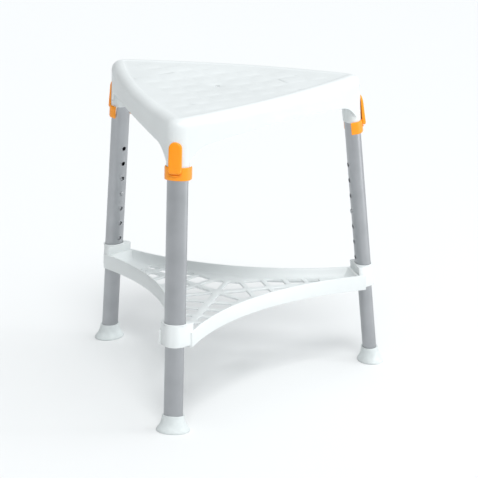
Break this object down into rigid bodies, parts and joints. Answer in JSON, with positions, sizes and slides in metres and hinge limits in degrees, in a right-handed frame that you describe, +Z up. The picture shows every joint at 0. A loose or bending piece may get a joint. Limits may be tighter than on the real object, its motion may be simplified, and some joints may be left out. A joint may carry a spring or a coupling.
{
  "type": "shower stool",
  "caption": "Three-legged shower stool: triangular moulded seat, tray shelf, height-adjustable oval aluminium legs with snap buttons, corner clips and flared rubber feet.",
  "frame": {"origin": "on the floor, at the middle of the stool's outer box, 62.5 mm from the stool's middle axis towards the near leg", "axes": "+Z up; -Y towards the near leg, which stands on the -Y side; +X to the right seen from that side"},
  "size_m": [0.492, 0.4334, 0.482],
  "materials": {
    "seat_plastic": "satin",
    "clip_plastic": "satin",
    "aluminium": "anodised satin",
    "foot_rubber": "matt",
    "spring_steel": "satin",
    "bush_plastic": "satin"
  },
  "bodies": {
    "stool": {"seat": "seat_plastic", "shelf": "seat_plastic", "upper_tube_near": "aluminium", "upper_tube_right": "aluminium", "upper_tube_left": "aluminium", "guide_bush_near": "bush_plastic", "guide_bush_right": "bush_plastic", "guide_bush_left": "bush_plastic"},
    "lower_leg_near": {"lower_tube_near": "aluminium", "foot_near": "foot_rubber"},
    "snap_clip_near": {"snap_clip_near": "spring_steel"},
    "leg_clip_near": {"leg_clip_near": "clip_plastic"},
    "lower_leg_right": {"lower_tube_right": "aluminium", "foot_right": "foot_rubber"},
    "snap_clip_right": {"snap_clip_right": "spring_steel"},
    "leg_clip_right": {"leg_clip_right": "clip_plastic"},
    "lower_leg_left": {"lower_tube_left": "aluminium", "foot_left": "foot_rubber"},
    "snap_clip_left": {"snap_clip_left": "spring_steel"},
    "leg_clip_left": {"leg_clip_left": "clip_plastic"}
  },
  "joints": [
    {"name": "leg_height_near", "type": "slide", "parent": "stool", "child": "lower_leg_near", "axis": [0, -0.0898, -0.996], "range_m": [-0.078, 0.078]},
    {"name": "leg_height_right", "type": "slide", "parent": "stool", "child": "lower_leg_right", "axis": [0.0777, 0.0449, -0.996], "range_m": [-0.078, 0.078]},
    {"name": "leg_height_left", "type": "slide", "parent": "stool", "child": "lower_leg_left", "axis": [-0.0777, 0.0449, -0.996], "range_m": [-0.078, 0.078]},
    {"name": "button_near", "type": "slide", "parent": "lower_leg_near", "child": "snap_clip_near", "axis": [0, -0.996, 0.0898], "range_m": [0, 0.0036], "stiffness_N_per_m": 1500, "springref_m": -0.003, "deforming": ["snap_clip_near"]},
    {"name": "button_right", "type": "slide", "parent": "lower_leg_right", "child": "snap_clip_right", "axis": [0.8625, 0.498, 0.0898], "range_m": [0, 0.0036], "stiffness_N_per_m": 1500, "springref_m": -0.003, "deforming": ["snap_clip_right"]},
    {"name": "button_left", "type": "slide", "parent": "lower_leg_left", "child": "snap_clip_left", "axis": [-0.8625, 0.498, 0.0898], "range_m": [0, 0.0036], "stiffness_N_per_m": 1500, "springref_m": -0.003, "deforming": ["snap_clip_left"]},
    {"name": "clip_release_near", "type": "slide", "parent": "stool", "child": "leg_clip_near", "axis": [0, -0.0898, -0.996], "range_m": [0, 0.025]},
    {"name": "clip_release_right", "type": "slide", "parent": "stool", "child": "leg_clip_right", "axis": [0.0777, 0.0449, -0.996], "range_m": [0, 0.025]},
    {"name": "clip_release_left", "type": "slide", "parent": "stool", "child": "leg_clip_left", "axis": [-0.0777, 0.0449, -0.996], "range_m": [0, 0.025]}
  ]
}
